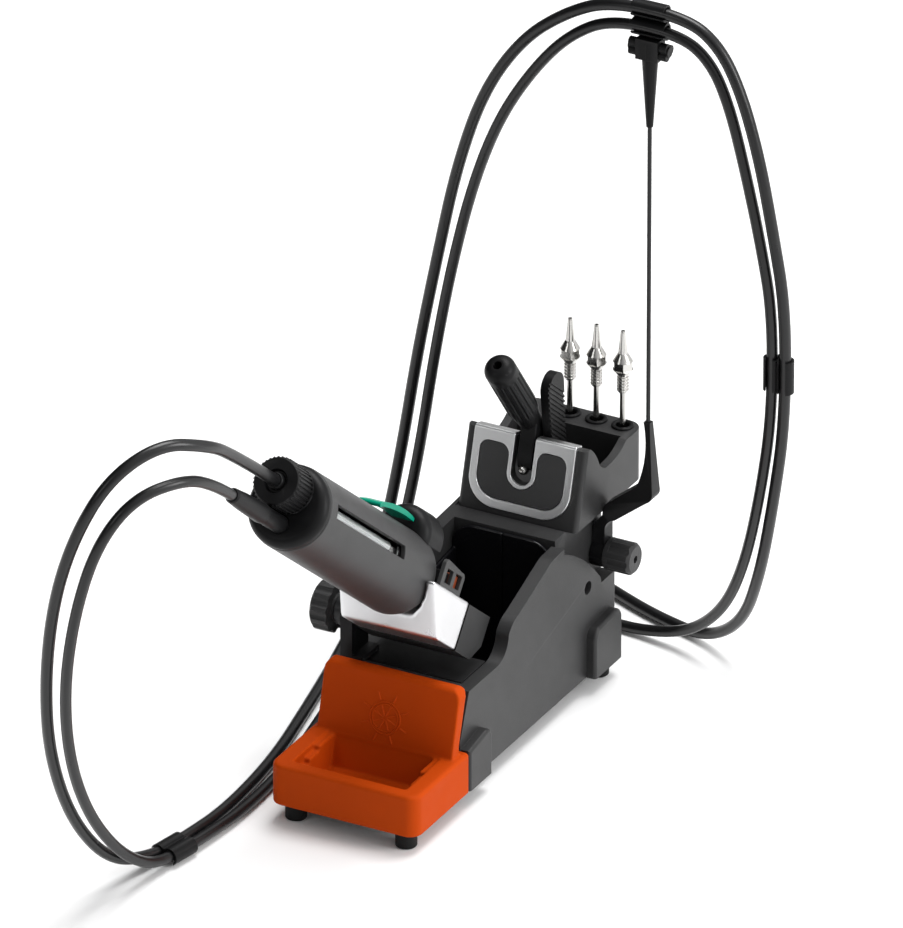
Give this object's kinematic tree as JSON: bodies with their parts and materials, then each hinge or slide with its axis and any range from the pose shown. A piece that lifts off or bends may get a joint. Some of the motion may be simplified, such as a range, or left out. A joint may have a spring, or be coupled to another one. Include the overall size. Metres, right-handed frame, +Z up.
{
  "type": "soldering iron station",
  "caption": "Bench stand for a desoldering iron with a tilting cradle, cleaning tray, spare tip and tool holder, and a sprung arm carrying its hose and cable.",
  "frame": {"origin": "on the surface the feet stand on, under the middle of the box of the stand and iron without the free hose and cable", "axes": "+Z up along the hose arm, +Y towards the back of the stand, away from the orange tray, +X to the right seen from the tray"},
  "size_m": [0.2143, 0.4629, 0.3451],
  "materials": {
    "shell_plastic": "satin charcoal, fine moulded grain",
    "gloss_black": "gloss",
    "orange_silicone": "matt silicone",
    "handle_plastic": "satin",
    "soft_black": "matt",
    "feet_rubber": "matt",
    "teal_plastic": "satin",
    "cast_aluminium": "bead blasted",
    "trim_aluminium": "brushed",
    "steel": "brushed",
    "bright_steel": "turned",
    "black_steel": "blackened",
    "glass": "clear",
    "filter_cotton": "loose",
    "brown_resin": "satin",
    "insert_plastic": "fine matt grain",
    "hose_rubber": "satin"
  },
  "bodies": {
    "base": {"base_plate": "black_steel", "foot_front_left": "feet_rubber", "foot_front_right": "feet_rubber", "foot_rear_left": "feet_rubber", "foot_rear_right": "feet_rubber", "foot_screws": "steel", "base_shell": "shell_plastic", "ballast_block": "steel", "liner_left": "gloss_black", "liner_right": "gloss_black", "cradle_bracket": "soft_black", "knob_washer": "black_steel", "holder_housing": "shell_plastic", "holder_trim_plate": "trim_aluminium", "holder_insert": "insert_plastic", "tip_grommet_1": "soft_black", "tip_grommet_2": "soft_black", "tip_grommet_3": "soft_black", "arm_stud": "black_steel", "hose_arm": "soft_black", "hose_rod": "black_steel", "rod_head": "soft_black", "top_clip": "soft_black", "right_clip": "soft_black", "floor_clip": "soft_black", "vacuum_hose": "hose_rubber", "iron_cable": "hose_rubber", "hose_fitting": "bright_steel", "cable_plug": "gloss_black"},
    "tray": {"cleaning_tray": "orange_silicone"},
    "cradle": {"cradle_shell": "cast_aluminium", "cradle_core": "soft_black", "cradle_axle": "black_steel", "contact_frame": "handle_plastic", "contact_block": "brown_resin", "contact_stop": "soft_black", "handle_shell": "handle_plastic", "rear_cap": "soft_black", "hose_collar": "soft_black", "strain_relief": "soft_black", "glass_tube": "glass", "filter_plug": "filter_cotton", "glass_seals": "soft_black", "nose_hood": "soft_black", "nose_collar": "soft_black", "heater_barrel": "steel", "iron_tip": "bright_steel", "hose_first_stretch": "hose_rubber"},
    "screw_cap": {"knurled_cap": "soft_black"},
    "trigger": {"trigger_lever": "teal_plastic"},
    "left_knob_body": {"left_knob": "shell_plastic"},
    "rear_knob_body": {"rear_knob": "shell_plastic"},
    "tip_one": {"spare_tip_1": "bright_steel"},
    "tip_two": {"spare_tip_2": "bright_steel"},
    "tip_three": {"spare_tip_3": "bright_steel"},
    "hook_tool": {"hook_tool_handle": "soft_black", "hook_tool_arm": "soft_black"},
    "flat_tool_body": {"flat_tool": "soft_black"},
    "thumb_left": {"thumbscrew_left": "soft_black"},
    "thumb_right": {"thumbscrew_right": "soft_black"}
  },
  "joints": [
    {"name": "tray_pull", "type": "slide", "parent": "base", "child": "tray", "axis": [0, -1, 0], "range_m": [0, 0.06]},
    {"name": "cradle_tilt", "type": "hinge", "parent": "base", "child": "cradle", "pos_m": [-0.0074, 0.00298, 0.07585], "axis": [1, 0, 0], "range_deg": [-8, 2]},
    {"name": "screw_cap_turn", "type": "hinge", "parent": "cradle", "child": "screw_cap", "pos_m": [-0.0074, -0.11675, 0.20163], "axis": [0, -0.7826, 0.6225], "range_deg": [0, 90]},
    {"name": "trigger_press", "type": "hinge", "parent": "cradle", "child": "trigger", "pos_m": [-0.0074, -0.03762, 0.15734], "axis": [1, 0, 0], "range_deg": [-3, 0], "stiffness_Nm_per_rad": 0.4, "springref_deg": 2.86},
    {"name": "left_knob_turn", "type": "hinge", "parent": "cradle", "child": "left_knob_body", "pos_m": [-0.0494, 0.00298, 0.07585], "axis": [-1, 0, 0], "continuous": true},
    {"name": "rear_knob_turn", "type": "hinge", "parent": "base", "child": "rear_knob_body", "pos_m": [0.0316, 0.12908, 0.0623], "axis": [1, 0, 0], "continuous": true},
    {"name": "tip_1_lift", "type": "slide", "parent": "base", "child": "tip_one", "axis": [0, 0, 1], "range_m": [0, 0.05]},
    {"name": "tip_2_lift", "type": "slide", "parent": "base", "child": "tip_two", "axis": [0, 0, 1], "range_m": [0, 0.05]},
    {"name": "tip_3_lift", "type": "slide", "parent": "base", "child": "tip_three", "axis": [0, 0, 1], "range_m": [0, 0.05]},
    {"name": "hook_tool_lift", "type": "slide", "parent": "base", "child": "hook_tool", "axis": [0, -0.6018, 0.7986], "range_m": [0, 0.06]},
    {"name": "flat_tool_lift", "type": "slide", "parent": "base", "child": "flat_tool_body", "axis": [0, -0.1045, 0.9945], "range_m": [0, 0.06]},
    {"name": "thumbscrew_left_turn", "type": "hinge", "parent": "base", "child": "thumb_left", "pos_m": [0.0366, 0.12908, 0.3222], "axis": [-1, 0, 0], "continuous": true},
    {"name": "thumbscrew_right_turn", "type": "hinge", "parent": "base", "child": "thumb_right", "pos_m": [0.0526, 0.12908, 0.3222], "axis": [1, 0, 0], "continuous": true}
  ]
}
